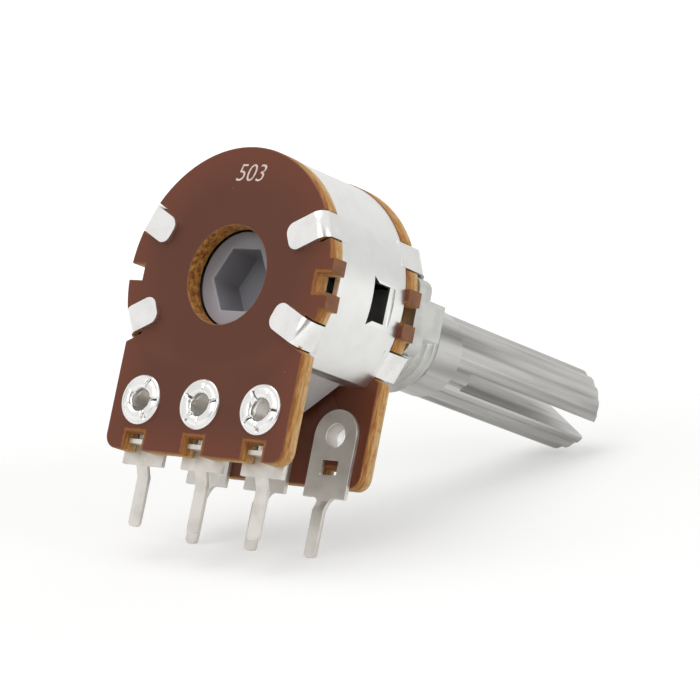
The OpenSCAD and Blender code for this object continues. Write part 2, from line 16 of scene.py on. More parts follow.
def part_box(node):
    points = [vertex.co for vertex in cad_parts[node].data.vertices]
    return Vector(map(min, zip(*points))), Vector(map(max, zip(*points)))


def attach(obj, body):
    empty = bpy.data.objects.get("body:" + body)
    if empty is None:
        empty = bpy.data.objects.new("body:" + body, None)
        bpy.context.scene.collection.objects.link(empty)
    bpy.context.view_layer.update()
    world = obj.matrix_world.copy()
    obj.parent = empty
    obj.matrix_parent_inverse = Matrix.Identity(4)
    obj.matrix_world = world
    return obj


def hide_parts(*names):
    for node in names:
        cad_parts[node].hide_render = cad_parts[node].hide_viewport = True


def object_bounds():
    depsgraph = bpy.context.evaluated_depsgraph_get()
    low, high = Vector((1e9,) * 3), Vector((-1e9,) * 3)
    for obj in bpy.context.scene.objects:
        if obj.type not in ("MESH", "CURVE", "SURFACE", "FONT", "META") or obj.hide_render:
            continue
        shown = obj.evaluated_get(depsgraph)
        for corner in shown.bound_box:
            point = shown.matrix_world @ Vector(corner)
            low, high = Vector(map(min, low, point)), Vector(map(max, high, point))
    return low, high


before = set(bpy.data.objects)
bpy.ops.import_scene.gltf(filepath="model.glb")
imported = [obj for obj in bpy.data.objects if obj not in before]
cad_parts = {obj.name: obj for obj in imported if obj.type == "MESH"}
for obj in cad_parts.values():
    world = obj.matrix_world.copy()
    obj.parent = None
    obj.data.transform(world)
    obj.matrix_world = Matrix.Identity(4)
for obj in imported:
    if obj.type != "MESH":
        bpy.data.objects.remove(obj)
cad_low, cad_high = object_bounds()
HOUSING, TURNING = "housing", "shaft_assembly"
MM = 0.001

# %% [markdown]
# A product photograph of a small part is taken from far away with a long lens, which keeps its
# parallel edges nearly parallel. The camera could be aimed at the part with a constraint, but
# its three axes are given instead, because they also hold the slight roll of the photograph.

# %% Camera
CAMERA_PLACE = (134.64, -154.49, -32.83)
CAMERA_RIGHT, CAMERA_FORWARD = (0.7643, 0.6159, 0.1910), (-0.6427, 0.7515, 0.1487)
LENS_MM = 165.87
camera_data = bpy.data.cameras.new("long_lens")
camera = bpy.data.objects.new("long_lens", camera_data)
bpy.context.scene.collection.objects.link(camera)
right = Vector(CAMERA_RIGHT).normalized()
forward = Vector(CAMERA_FORWARD).normalized()
up = right.cross(forward)
right = forward.cross(up)
axes = Matrix((right, up, -forward)).transposed()
camera.matrix_world = Matrix.Translation(Vector(CAMERA_PLACE) * MM) @ axes.to_4x4()
camera_data.lens = LENS_MM
camera_data.clip_start, camera_data.clip_end = 10 * MM, 5000 * MM
bpy.context.scene.camera = camera
bpy.context.scene.view_settings.view_transform = "Standard"
print("lens", camera_data.lens, "mm")

# %% [markdown]
# A node tree is easier to read when each node is one line that says its settings and what goes
# in. One function does that for every kind of node: a socket is linked, a number is typed in,
# and a node stands for its first output. Colours are written as the hex values of a colour
# picker, which are sRGB, and Blender's sockets want linear light.


# %% Helpers for materials
def linear(hex_colour):
    channels = [int(hex_colour[i : i + 2], 16) / 255 for i in (1, 3, 5)]
    return [c / 12.92 if c <= 0.04045 else ((c + 0.055) / 1.055) ** 2.4 for c in channels] + [1.0]


def add(tree, kind, settings=None, inputs=None):
    node = tree.nodes.new(kind)
    for name, value in (settings or {}).items():
        setattr(node, name, value)
    for key, value in (inputs or {}).items():
        if isinstance(value, bpy.types.Node):
            value = value.outputs[0]
        if isinstance(value, bpy.types.NodeSocket):
            tree.links.new(value, node.inputs[key])
        else:
            node.inputs[key].default_value = value
    return node


def start_material(name, **surface):
    """A material, its tree, its shader and its object coordinates in millimetres."""
    material = bpy.data.materials.new(name)
    material.use_nodes = True
    tree = material.node_tree
    shader = tree.nodes["Principled BSDF"]
    for socket, value in surface.items():
        shader.inputs[socket.replace("_", " ")].default_value = value
    place = add(tree, "ShaderNodeTexCoord").outputs["Object"]
    in_mm = add(tree, "ShaderNodeMapping", {}, {"Vector": place, "Scale": (1 / MM,) * 3})
    return material, tree, shader, in_mm.outputs["Vector"]


# A Mix node keeps one set of sockets for each kind of data, and these are those for colours
COLOUR_MIX = {"data_type": "RGBA"}
A, B, COLOUR = 6, 7, 2
SMOOTH = {"interpolation_type": "SMOOTHSTEP"}
print("mid grey in linear light:", [round(c, 3) for c in linear("#808080")[:3]])

# %% [markdown]
# Light tent. The part was photographed in a white light tent, so its metal mirrors white cloth
# from nearly every side, and a softer grey where the tent opens for the camera. Behind the
# part the cloth hangs in shade, which shades the can across its width. Real cloth could be
# modelled, but a world that is white to the camera and in reflections gives the same, and as
# a light it is dimmer, so that the lamps can give the form.

# %% Light tent
TENT_GLOW, TENT_MIRRORED, OPENING_MIRRORED = 0.52, 0.97, 0.34
OPENING_EDGE, OPENING_MIDDLE = 0.62, 0.93
SHADED_CLOTH, CLOTH_SHADE, SHADE_EDGE = (0.55, 0.75, 0.25), 0.8, 0.72
world = bpy.data.worlds.new("light_tent")
bpy.context.scene.world = world
world.use_nodes = True
tent = world.node_tree
background = tent.nodes["Background"]
ray = add(tent, "ShaderNodeLightPath").outputs
looked_at = add(tent, "ShaderNodeTexCoord").outputs["Generated"]
to_opening = add(tent, "ShaderNodeVectorMath", {"operation": "DOT_PRODUCT"},
                 {0: looked_at, 1: camera.matrix_world.translation.normalized()})
opening = add(tent, "ShaderNodeMapRange", SMOOTH,
              {"Value": to_opening.outputs["Value"], "From Min": OPENING_EDGE, "From Max": OPENING_MIDDLE,
               "To Min": TENT_MIRRORED, "To Max": OPENING_MIRRORED})
to_shade = add(tent, "ShaderNodeVectorMath", {"operation": "DOT_PRODUCT"},
               {0: looked_at, 1: Vector(SHADED_CLOTH).normalized()})
shade = add(tent, "ShaderNodeMapRange", SMOOTH,
            {"Value": to_shade.outputs["Value"], "From Min": SHADE_EDGE,
             "To Min": 1.0, "To Max": CLOTH_SHADE})
mirrored = add(tent, "ShaderNodeMath", {"operation": "MULTIPLY"}, {0: opening, 1: shade})
seen = add(tent, "ShaderNodeMath", {"operation": "MAXIMUM"},
           {0: ray["Is Camera Ray"], 1: ray["Is Transmission Ray"]})
glow = add(tent, "ShaderNodeMapRange", {},
           {"Value": ray["Is Glossy Ray"], "To Min": TENT_GLOW, "To Max": mirrored})
level = add(tent, "ShaderNodeMapRange", {}, {"Value": seen, "To Min": glow, "To Max": 1.0})
background.inputs["Color"].default_value = linear("#FFFFFF")
tent.links.new(level.outputs[0], background.inputs["Strength"])
print("world:", world.name)

# %% [markdown]
# Lamps. Small lamps would give hard shadows, so each lamp is a wide disc, like a lit wall of
# the tent. Each is aimed at the middle of the part.

# %% Lamps
TABLE_UP = Vector((0, -0.3997, 0.9166))
part_middle = (cad_low + cad_high) / 2


def softbox(name, direction, distance_mm, size_mm, watts):
    data = bpy.data.lights.new(name, "AREA")
    data.shape, data.size, data.energy = "DISK", size_mm * MM, watts
    lamp = bpy.data.objects.new(name, data)
    bpy.context.scene.collection.objects.link(lamp)
    away = Vector(direction).normalized()
    lamp.location = part_middle + away * distance_mm * MM
    lamp.rotation_mode = "QUATERNION"
    lamp.rotation_quaternion = away.to_track_quat("Z", "Y")


softbox("overhead", TABLE_UP + 0.25 * Vector((-1, -0.4, 0)), 320, 300, 0.30)
softbox("right_side", (1.0, -0.25, 0.35), 300, 200, 0.18)
softbox("camera_side", (0.1, -1.0, 0.2), 340, 220, 0.16)

# %% [markdown]
# The part stands on the tips of its front pins and on the end of its shaft, so the table is
# the plane through those points, tilted in the part's own frame. It could be typed in as an
# angle, but it is worked out from the CAD boxes, so it fits whatever the part's size is.

# %% Table
PIN_HALF_THICKNESS = 0.15 * MM
TABLE_HALF = 1500 * MM
pins_low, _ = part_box("front_terminal_2")
shaft_low, shaft_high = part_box("shaft")
pin_touch = Vector((0, pins_low.y + PIN_HALF_THICKNESS, pins_low.z))
tip_touch = Vector((0, shaft_high.y, shaft_low.z))
along = (tip_touch - pin_touch).normalized()
table_normal = Vector((1, 0, 0)).cross(along)
table_mesh = bpy.data.meshes.new("table")
bm = bmesh.new()
bmesh.ops.create_grid(bm, x_segments=1, y_segments=1, size=TABLE_HALF)
turn = Matrix((Vector((1, 0, 0)), along, table_normal)).transposed().to_4x4()
bmesh.ops.transform(bm, matrix=Matrix.Translation(pin_touch) @ turn, verts=bm.verts)
bm.to_mesh(table_mesh)
bm.free()
table = bpy.data.objects.new("table", table_mesh)
bpy.context.scene.collection.objects.link(table)
print("table tilt:", round(math.degrees(math.asin(along.z)), 1), "degrees")

# %% [markdown]
# White paper that is lit enough to keep a soft shadow is a little grey, so it also glows, but
# only to the camera and in reflections, and more the further away it is, as paper does where
# it curves up into a lit backdrop. Its lower side is clear: a camera below it sees the part
# through it.

# %% White paper
PAPER_GLOW, BACKDROP_GLOW = 0.36, 0.66
BACKDROP_NEAR, BACKDROP_FAR = 35, 160
paper, tree, shader, in_mm = start_material("white_paper", Roughness=0.9, Specular_IOR_Level=0.1)
shader.inputs["Base Color"].default_value = linear("#DCDCDB")
shader.inputs["Emission Color"].default_value = linear("#FFFFFF")
ray = add(tree, "ShaderNodeLightPath").outputs
seen = add(tree, "ShaderNodeMath", {"operation": "ADD"}, {0: ray["Is Camera Ray"], 1: ray["Is Glossy Ray"]})
seen = add(tree, "ShaderNodeMath", {"operation": "ADD"}, {0: seen, 1: ray["Is Transmission Ray"]})
away = add(tree, "ShaderNodeVectorMath", {"operation": "LENGTH"}, {0: in_mm})
lit = add(tree, "ShaderNodeMapRange", {},
          {"Value": away.outputs["Value"], "From Min": BACKDROP_NEAR, "From Max": BACKDROP_FAR,
           "To Min": PAPER_GLOW, "To Max": BACKDROP_GLOW})
glow = add(tree, "ShaderNodeMath", {"operation": "MULTIPLY"}, {0: seen, 1: lit})
tree.links.new(glow.outputs[0], shader.inputs["Emission Strength"])
side = add(tree, "ShaderNodeNewGeometry").outputs["Backfacing"]
clear = add(tree, "ShaderNodeBsdfTransparent")
one_sided = add(tree, "ShaderNodeMixShader", {}, {0: side, 1: shader, 2: clear})
tree.links.new(one_sided.outputs[0], tree.nodes["Material Output"].inputs["Surface"])
table_mesh.materials.append(paper)
print("stage:", table.name, "in", paper.name)

# %% [markdown]
# Places on a wafer. The colours of a wafer follow its shape: the coat thins towards the
# outline and is chipped round the punched notches. That could be painted on a picture, but
# distances in millimetres do it with no picture, and they fit the CAD model's own sizes.

# %% Places on a wafer
PITCH_MM = (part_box("rear_terminal_3")[0].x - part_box("rear_terminal_2")[0].x) / MM
wafer_low, wafer_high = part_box("rear_wafer")


def places(tree, in_mm):
    """The x, y and z of a point, and its distance from the shaft's axis, in millimetres."""
    x, y, z = add(tree, "ShaderNodeSeparateXYZ", {}, {0: in_mm}).outputs
    flat = add(tree, "ShaderNodeCombineXYZ", {}, {"X": x, "Z": z})
    radius = add(tree, "ShaderNodeVectorMath", {"operation": "LENGTH"}, {0: flat})
    return x, y, z, radius.outputs["Value"]


def outside_box(tree, x, middle_x, half_x, z, middle_z, half_z):
    """Distance outside a rectangle that lies square to x and z, in millimetres."""
    beyond = []
    for value, middle, half in ((x, middle_x, half_x), (z, middle_z, half_z)):
        apart = add(tree, "ShaderNodeMath", {"operation": "SUBTRACT"}, {0: value, 1: middle})
        apart = add(tree, "ShaderNodeMath", {"operation": "ABSOLUTE"}, {0: apart})
        beyond.append(add(tree, "ShaderNodeMath", {"operation": "SUBTRACT"}, {0: apart, 1: half}))
    return add(tree, "ShaderNodeMath", {"operation": "MAXIMUM"}, {0: beyond[0], 1: beyond[1]})


print("pins stand", round(PITCH_MM, 2), "mm apart")

# %% [markdown]
# Brown lacquer. The wafers are punched from paper-phenolic sheet that is coated with a deep
# brown lacquer. It is satin and slightly clouded. Towards the outline it is painted redder and
# lighter, a painted light for the light that the edges catch, so the eye reads a coat on a
# board and not a brown plastic.

# %% Brown lacquer
LACQUER_GLOSS = 0.3
CLOUD = 4.545
# The board's round edge, the middle and half sizes of its straight lower part, and how far in from the
# outline the painted edge light reaches
ROUND_R, LOWER_MIDDLE, LOWER_HALF, EDGE_LIGHT_REACH = 8.25, -7.5, (7.4, 4.0), 3.0
lacquer, tree, shader, in_mm = start_material("brown_lacquer_on_phenolic", Roughness=0.4, IOR=1.5,
                                              Specular_IOR_Level=LACQUER_GLOSS)
x, _, z, radius = places(tree, in_mm)
cloud = add(tree, "ShaderNodeTexNoise", {}, {"Vector": in_mm, "Scale": 1 / CLOUD, "Detail": 2.0})
deep = add(tree, "ShaderNodeMix", COLOUR_MIX, {0: cloud, A: linear("#5A2E1E"), B: linear("#673824")})
from_round = add(tree, "ShaderNodeMath", {"operation": "SUBTRACT"}, {0: radius, 1: ROUND_R})
from_lower = outside_box(tree, x, 0.0, LOWER_HALF[0], z, LOWER_MIDDLE, LOWER_HALF[1])
outline = add(tree, "ShaderNodeMath", {"operation": "MINIMUM"}, {0: from_round, 1: from_lower})
# Painted light: the lacquer turns redder and lighter towards the outline, for the light its edges catch
painted_edge_light = add(tree, "ShaderNodeMapRange", SMOOTH,
              {"Value": outline, "From Min": -EDGE_LIGHT_REACH, "From Max": 0.0})
brown = add(tree, "ShaderNodeMix", COLOUR_MIX,
            {0: painted_edge_light, A: deep.outputs[COLOUR], B: linear("#6F3A25")})
# Prints how far in from the outline the painted edge light reaches
print("lacquer thins over the last", EDGE_LIGHT_REACH, "mm")

# %% [markdown]
# Dust. A few specks of pale dust are caught in the lacquer while it dries. They could be
# placed one by one, but a cell pattern scatters them: each cell may hold one speck, and only
# the cells whose random colour is high enough keep theirs.

# %% Dust in the lacquer
DUST_APART, DUST_CHOSEN = 0.909, 0.86
DUST_SIZE = (0.03, 0.055)
grain = add(tree, "ShaderNodeTexVoronoi", {"feature": "F1"}, {"Vector": in_mm, "Scale": 1 / DUST_APART})
speck = add(tree, "ShaderNodeMapRange", {},
            {"Value": grain.outputs["Distance"], "From Min": DUST_SIZE[0], "From Max": DUST_SIZE[1],
             "To Min": 0.6, "To Max": 0.0})
lot = add(tree, "ShaderNodeSeparateColor", {}, {0: grain.outputs["Color"]})
chosen = add(tree, "ShaderNodeMath", {"operation": "GREATER_THAN"}, {0: lot, 1: DUST_CHOSEN})
dust = add(tree, "ShaderNodeMath", {"operation": "MULTIPLY"}, {0: speck, 1: chosen})
dusty = add(tree, "ShaderNodeMix", COLOUR_MIX, {0: dust, A: brown.outputs[COLOUR], B: linear("#A77E68")})
print("dust specks in", round(100 * (1 - DUST_CHOSEN)), "cells of 100")

# %% [markdown]
# Chips. The punch chips the lacquer off in a ragged golden line round the notches. The chips
# could be cut into the mesh, but they are only colour, so they are found from the distance to
# each notch, with noise that makes the line ragged. The hook notches repeat at the pins'
# pitch, so the nearest of them is found by snapping.

# %% Chips round the notches
CHIP, CHIP_REACH, CHIP_EDGE = 0.2857, 0.2, (0.03, 0.15)
HONEY, HONEY_DARK, HONEY_LIGHT = "#C08844", "#96581C", "#D8B884"
# Half the width and half the height of each notch
HOOK_NOTCH, LUG_NOTCH, LUG_NOTCH_MIDDLE = (0.75, 0.575), (1.2, 0.6), -0.2
half_step = add(tree, "ShaderNodeMath", {"operation": "ADD"}, {0: x, 1: PITCH_MM / 2})
nearest = add(tree, "ShaderNodeMath", {"operation": "SNAP"}, {0: half_step, 1: PITCH_MM})
from_hook = add(tree, "ShaderNodeMath", {"operation": "SUBTRACT"}, {0: x, 1: nearest})
hooks = outside_box(tree, from_hook, 0.0, HOOK_NOTCH[0], z, wafer_low.z / MM + HOOK_NOTCH[1], HOOK_NOTCH[1])
lug = outside_box(tree, x, wafer_high.x / MM, LUG_NOTCH[0], z, LUG_NOTCH_MIDDLE, LUG_NOTCH[1])
closest = add(tree, "ShaderNodeMath", {"operation": "MINIMUM"}, {0: hooks, 1: lug})
ragged = add(tree, "ShaderNodeTexNoise", {}, {"Vector": in_mm, "Scale": 1 / CHIP, "Detail": 3.0})
wobble = add(tree, "ShaderNodeMath", {"operation": "MULTIPLY_ADD"}, {0: ragged, 1: -CHIP_REACH, 2: closest})
chipped = add(tree, "ShaderNodeMapRange", SMOOTH,
              {"Value": wobble, "From Min": CHIP_EDGE[0], "From Max": CHIP_EDGE[1],
               "To Min": 1.0, "To Max": 0.0})
bare = add(tree, "ShaderNodeMix", COLOUR_MIX, {0: ragged, A: linear(HONEY_DARK), B: linear("#9C6428")})
face = add(tree, "ShaderNodeMix", COLOUR_MIX,
           {0: chipped, A: dusty.outputs[COLOUR], B: bare.outputs[COLOUR]})
tree.links.new(face.outputs[COLOUR], shader.inputs["Base Color"])
print("chips of", CHIP, "mm round the notches")

# %% [markdown]
# Orange peel. A sprayed coat dries with a faint unevenness, which breaks up its highlight. It
# is far too shallow to model, so it is a bump, drawn a little coarser than it is.

# %% Orange peel
PEEL, PEEL_DEPTH = 0.4545, 0.02
orange_peel = add(tree, "ShaderNodeTexNoise", {}, {"Vector": in_mm, "Scale": 1 / PEEL, "Detail": 2.0})
relief = add(tree, "ShaderNodeBump", {},
             {"Height": orange_peel, "Strength": 0.25, "Distance": PEEL_DEPTH * MM})
tree.links.new(relief.outputs["Normal"], shader.inputs["Normal"])
print("peel", PEEL_DEPTH, "mm deep")

# %% [markdown]
# Lacquered edge. Where the coat runs thin over a rounded edge, the honey of the board shines
# through it, so the brown turns orange. It is the same coat, but thinner, so it keeps the
# lacquer's roughness and IOR.

# %% Thin lacquer
STREAK = 0.625
thin_lacquer, tree, shader, in_mm = start_material("thin_lacquer_on_edge", Roughness=0.4, IOR=1.5)
streak = add(tree, "ShaderNodeTexNoise", {}, {"Vector": in_mm, "Scale": 1 / STREAK, "Detail": 3.0})
amber = add(tree, "ShaderNodeMix", COLOUR_MIX, {0: streak, A: linear("#5A2A14"), B: linear("#96602A")})
tree.links.new(amber.outputs[COLOUR], shader.inputs["Base Color"])
print("coats:", lacquer.name, thin_lacquer.name)

# %% [markdown]
# Punched edge. Where the die tears through the sheet it shows the paper and resin inside:
# orange brown next to the lacquered rear face, paler towards the other side, with streaks
# along the sheet. A picture of a real edge could be wrapped round, but the layers follow the
# depth into the board, so a ramp over that depth does it, and stretched noise tears it up.

# %% Torn phenolic
# From one wafer's rear face to the next one's, and through a board
GANG_STEP, BOARD_T = 7.6, 1.2
FIBRE_LENGTH, FIBRE_THICKNESS, FIBRE_DEPTH = 1.515, 0.2273, 0.06
# How far the tearing moves the layers, in board thicknesses for the noise's whole range
TEARING = 2.4
torn, tree, shader, in_mm = start_material("torn_phenolic", Roughness=0.7, IOR=1.5)
_, y, _, radius = places(tree, in_mm)
fibres_in_mm = (1 / FIBRE_LENGTH, 1 / FIBRE_THICKNESS, 1 / FIBRE_LENGTH)
layers = add(tree, "ShaderNodeMapping", {}, {"Vector": in_mm, "Scale": fibres_in_mm})
fibre = add(tree, "ShaderNodeTexNoise", {},
            {"Vector": layers, "Scale": 1.0, "Detail": 5.0, "Roughness": 0.6})
from_rear = add(tree, "ShaderNodeMath", {"operation": "SUBTRACT"}, {0: y, 1: wafer_low.y / MM})
from_rear = add(tree, "ShaderNodeMath", {"operation": "MODULO"}, {0: from_rear, 1: GANG_STEP})
depth = add(tree, "ShaderNodeMath", {"operation": "DIVIDE"}, {0: from_rear, 1: BOARD_T})
uneven = add(tree, "ShaderNodeMath", {"operation": "SUBTRACT"}, {0: fibre, 1: 0.5})
torn_depth = add(tree, "ShaderNodeMath", {"operation": "MULTIPLY_ADD", "use_clamp": True},
                 {0: uneven, 1: TEARING, 2: depth})
layer_tint = add(tree, "ShaderNodeValToRGB", {}, {0: torn_depth})
ramp = layer_tint.color_ramp.elements
ramp[0].position, ramp[0].color = 0.0, linear(HONEY_DARK)
ramp[1].position, ramp[1].color = 1.0, linear(HONEY_LIGHT)
ramp.new(0.4).color = linear(HONEY)
relief = add(tree, "ShaderNodeBump", {}, {"Height": fibre, "Strength": 0.6, "Distance": FIBRE_DEPTH * MM})
tree.links.new(relief.outputs["Normal"], shader.inputs["Normal"])
print("edge colours:", HONEY, HONEY_DARK, HONEY_LIGHT)

# %% [markdown]
# Frayed paper. Torn paper lies in clumps, which fleck the edge with darker spots. The wall of
# the middle hole is cut by another punch that burns it to a mottled orange brown. It is part
# of the same torn edge, so it is told apart by its distance from the axis.

# %% Frayed paper and the middle hole
CLUMP = 0.3125
HOLE_REACH = 5.0
clump = add(tree, "ShaderNodeTexNoise", {},
            {"Vector": in_mm, "Scale": 1 / CLUMP, "Detail": 4.0, "Roughness": 0.65})
frayed = add(tree, "ShaderNodeMapRange", {},
             {"Value": clump, "From Min": 0.52, "From Max": 0.72, "To Max": 0.6})
flecked = add(tree, "ShaderNodeMix", COLOUR_MIX,
              {0: frayed, A: layer_tint.outputs["Color"], B: linear(HONEY_DARK)})
speckle = add(tree, "ShaderNodeMapRange", {}, {"Value": clump, "From Min": 0.4, "From Max": 0.62})
burnt = add(tree, "ShaderNodeMix", COLOUR_MIX, {0: speckle, A: linear("#7C4610"), B: linear("#C88E40")})
in_hole = add(tree, "ShaderNodeMath", {"operation": "LESS_THAN"}, {0: radius, 1: HOLE_REACH})
edge_tint = add(tree, "ShaderNodeMix", COLOUR_MIX,
                {0: in_hole, A: flecked.outputs[COLOUR], B: burnt.outputs[COLOUR]})
tree.links.new(edge_tint.outputs[COLOUR], shader.inputs["Base Color"])
print("torn edge:", torn.name)

# %% [markdown]
# Metals. The can is pressed from tin plate: satin on the wall, brighter where it is folded,
# matt where it is drawn in. The terminals are stamped brass with a dull coat of tin, the plate
# is a zinc die casting, the shaft is turned from aluminium bar, and the springs are steel and
# bronze. What tells them apart is colour, roughness and the marks of how they were made, so
# one function makes them all. It gives faint stains, and a grain that is stretched along the
# way the metal was worked. The real grain is finer than the render shows, so it is drawn
# coarser. The drawn tin and the terminals' dull tin scatter light nearly like a coat of paint,
# so they are less than fully metallic.

# %% Worked metal
STAIN = 1.25


def metal(name, colour, tarnish, roughness, grain_mm, depth_mm, strength=0.3, metallic=1.0,
          mottle=0.07, stretch=(1, 1, 1)):
    """Metal with a grain of grain_mm, longer along an axis where stretch is small."""
    material, tree, shader, in_mm = start_material(name, Metallic=metallic)
    worked = add(tree, "ShaderNodeMapping", {}, {"Vector": in_mm, "Scale": stretch})
    cloud = add(tree, "ShaderNodeTexNoise", {}, {"Vector": worked, "Scale": 1 / STAIN, "Detail": 3.0})
    stained = add(tree, "ShaderNodeMapRange", {}, {"Value": cloud, "From Min": 0.42, "From Max": 0.75})
    tint = add(tree, "ShaderNodeMix", COLOUR_MIX, {0: stained, A: linear(colour), B: linear(tarnish)})
    tree.links.new(tint.outputs[COLOUR], shader.inputs["Base Color"])
    grain = add(tree, "ShaderNodeTexNoise", {},
                {"Vector": worked, "Scale": 1 / grain_mm, "Detail": 4.0, "Roughness": 0.6})
    gloss = add(tree, "ShaderNodeMapRange", {},
                {"Value": grain, "From Min": 0.3, "From Max": 0.7,
                 "To Min": roughness - mottle, "To Max": roughness + mottle})
    tree.links.new(gloss.outputs[0], shader.inputs["Roughness"])
    relief = add(tree, "ShaderNodeBump", {},
                 {"Height": grain, "Strength": strength, "Distance": depth_mm * MM})
    tree.links.new(relief.outputs["Normal"], shader.inputs["Normal"])
    return material


tin_plate = metal("satin_tin_plate", "#E6E6E4", "#E0E0DD", 0.34, 0.8, 0.003, 0.08, mottle=0.02)
drawn_tin = metal("matt_drawn_tin", "#D8D4D4", "#CCC8C7", 0.6, 0.8, 0.003, 0.1, metallic=0.3)
bright_tin = metal("bright_formed_tin", "#ECEBE9", "#E0DFDC", 0.24, 0.5, 0.005, 0.15)
terminal_tin = metal("dull_tin_on_brass", "#DEDAD3", "#C9C5BD", 0.42, 0.3, 0.006, 0.25, metallic=0.8)
# Dark grey: painted shade for the crevices of the flares' deep splits
painted_split_shade = metal("painted_split_shade", "#7A7976", "#5C5B58", 0.45, 0.2, 0.01)
cast_zinc = metal("die_cast_zinc", "#C8C8C4", "#B4B4B1", 0.42, 0.35, 0.02, 0.35)
turned_alloy = metal("turned_aluminium", "#C4C3C0", "#8C8B87", 0.38, 0.4, 0.03, 0.5, stretch=(1, 0.06, 1))
spring_steel = metal("spring_steel", "#8E8E8B", "#7C7B78", 0.3, 0.4, 0.005)
spring_bronze = metal("spring_bronze", "#C9A567", "#B8925A", 0.28, 0.4, 0.005)
METALS = (tin_plate, drawn_tin, bright_tin, terminal_tin, painted_split_shade, cast_zinc, turned_alloy, spring_steel,
          spring_bronze)
print("metals:", ", ".join(material.name for material in METALS))

# %% [markdown]
# Rotor plastics. The rotor's hub is moulded in a lavender-grey polyester with a semi-gloss
# skin. It is painted paler towards the bottom and darker towards the top, a painted light and
# shade such as falls on it through the wafer's hole. The rim of its disc is painted nearly
# black, a painted shade for the dark inside of the can.

# %% Rotor plastics
FLOW, FLOW_DEPTH, DISC_MOTTLE = 1.25, 0.02, 0.3333
# Painted light and shade on the hub: paler at the lower of these heights, darker at the upper, in millimetres
LIT_LOW_Z, SHADED_HIGH_Z = -3.0, 2.5
rotor_plastic, tree, shader, in_mm = start_material("moulded_polyester", Roughness=0.28, IOR=1.52)
_, _, height, _ = places(tree, in_mm)
# Painted light and shade: paler low on the hub, darker high up
painted_hub_light = add(tree, "ShaderNodeMapRange", SMOOTH,
                {"Value": height, "From Min": SHADED_HIGH_Z, "From Max": LIT_LOW_Z})
lit_and_shaded_hub = add(tree, "ShaderNodeMix", COLOUR_MIX, {0: painted_hub_light, A: linear("#808084"), B: linear("#AAA7AE")})
tree.links.new(lit_and_shaded_hub.outputs[COLOUR], shader.inputs["Base Color"])
flow = add(tree, "ShaderNodeTexNoise", {}, {"Vector": in_mm, "Scale": 1 / FLOW, "Detail": 2.0})
relief = add(tree, "ShaderNodeBump", {}, {"Height": flow, "Strength": 0.2, "Distance": FLOW_DEPTH * MM})
tree.links.new(relief.outputs["Normal"], shader.inputs["Normal"])

# Painted shade: the disc's rim is made nearly black, for the dark inside of the can seen through the window
shade_disc, tree, shader, in_mm = start_material("painted_shade_disc", Roughness=0.5, IOR=1.55)
disc_mottle = add(tree, "ShaderNodeTexNoise", {}, {"Vector": in_mm, "Scale": 1 / DISC_MOTTLE, "Detail": 3.0})
black = add(tree, "ShaderNodeMix", COLOUR_MIX, {0: disc_mottle, A: linear("#100F0F"), B: linear("#221F1E")})
tree.links.new(black.outputs[COLOUR], shader.inputs["Base Color"])
print("rotor:", rotor_plastic.name, shade_disc.name)

# %% [markdown]
# Inks. The resistive tracks are screen-printed carbon ink, dead matt, with marks of the
# screen's mesh that are drawn coarser than they are. The number on the rear wafer is screen
# ink too, a little uneven where the brown shows through.

# %% Carbon ink and white ink
SCREEN_MESH, INK_GRAIN = 0.1667, 0.2
carbon_ink, tree, shader, in_mm = start_material("carbon_ink", Roughness=0.85, IOR=1.5)
mesh_marks = add(tree, "ShaderNodeTexNoise", {}, {"Vector": in_mm, "Scale": 1 / SCREEN_MESH, "Detail": 2.0})
soot = add(tree, "ShaderNodeMix", COLOUR_MIX, {0: mesh_marks, A: linear("#161514"), B: linear("#2A2827")})
tree.links.new(soot.outputs[COLOUR], shader.inputs["Base Color"])

white_ink, tree, shader, in_mm = start_material("white_screen_ink", Roughness=0.6, IOR=1.5)
thin_ink = add(tree, "ShaderNodeTexNoise", {}, {"Vector": in_mm, "Scale": 1 / INK_GRAIN, "Detail": 3.0})
cover = add(tree, "ShaderNodeMapRange", {}, {"Value": thin_ink, "From Min": 0.3, "From Max": 0.45})
chalk = add(tree, "ShaderNodeMix", COLOUR_MIX, {0: cover, A: linear("#B08A7C"), B: linear("#E6D3CA")})
tree.links.new(chalk.outputs[COLOUR], shader.inputs["Base Color"])
print("inks:", carbon_ink.name, white_ink.name)

# %% [markdown]
# Silver leads. The collector rings and end pads are printed in silver ink. Their leads run
# under the lacquer outside the can, so the ink turns brown beyond the can's slanting lower
# walls. It is one print, so the place where it goes under the lacquer is found in the
# material: its sides are folded together, and then one plane cuts them all.

# %% Silver ink
# The way a slanting wall faces, and how far out its inside and its outside are
BELLY_ANGLE, BELLY_INNER, BELLY_OUTER = math.radians(52), 6.5, 7.2
ACROSS_BELLY = Vector((math.cos(BELLY_ANGLE), 0, math.sin(BELLY_ANGLE)))
silver_ink = metal("silver_ink", "#C9C9C4", "#B9B9B2", 0.5, 0.15, 0.01)
tree = silver_ink.node_tree
shader = tree.nodes["Principled BSDF"]
silver = shader.inputs["Base Color"].links[0].from_socket
place = add(tree, "ShaderNodeTexCoord").outputs["Object"]
folded = add(tree, "ShaderNodeVectorMath", {"operation": "ABSOLUTE"}, {0: place})
out = add(tree, "ShaderNodeVectorMath", {"operation": "DOT_PRODUCT"}, {0: folded, 1: ACROSS_BELLY})
in_can = add(tree, "ShaderNodeMath", {"operation": "LESS_THAN"},
             {0: out.outputs["Value"], 1: BELLY_INNER * MM})
covered = add(tree, "ShaderNodeMix", COLOUR_MIX, {0: in_can, A: linear("#5E3020"), B: silver})
tree.links.new(covered.outputs[COLOUR], shader.inputs["Base Color"])
tree.links.new(in_can.outputs[0], shader.inputs["Metallic"])
print("silver shows up to", BELLY_INNER, "mm from the axis")

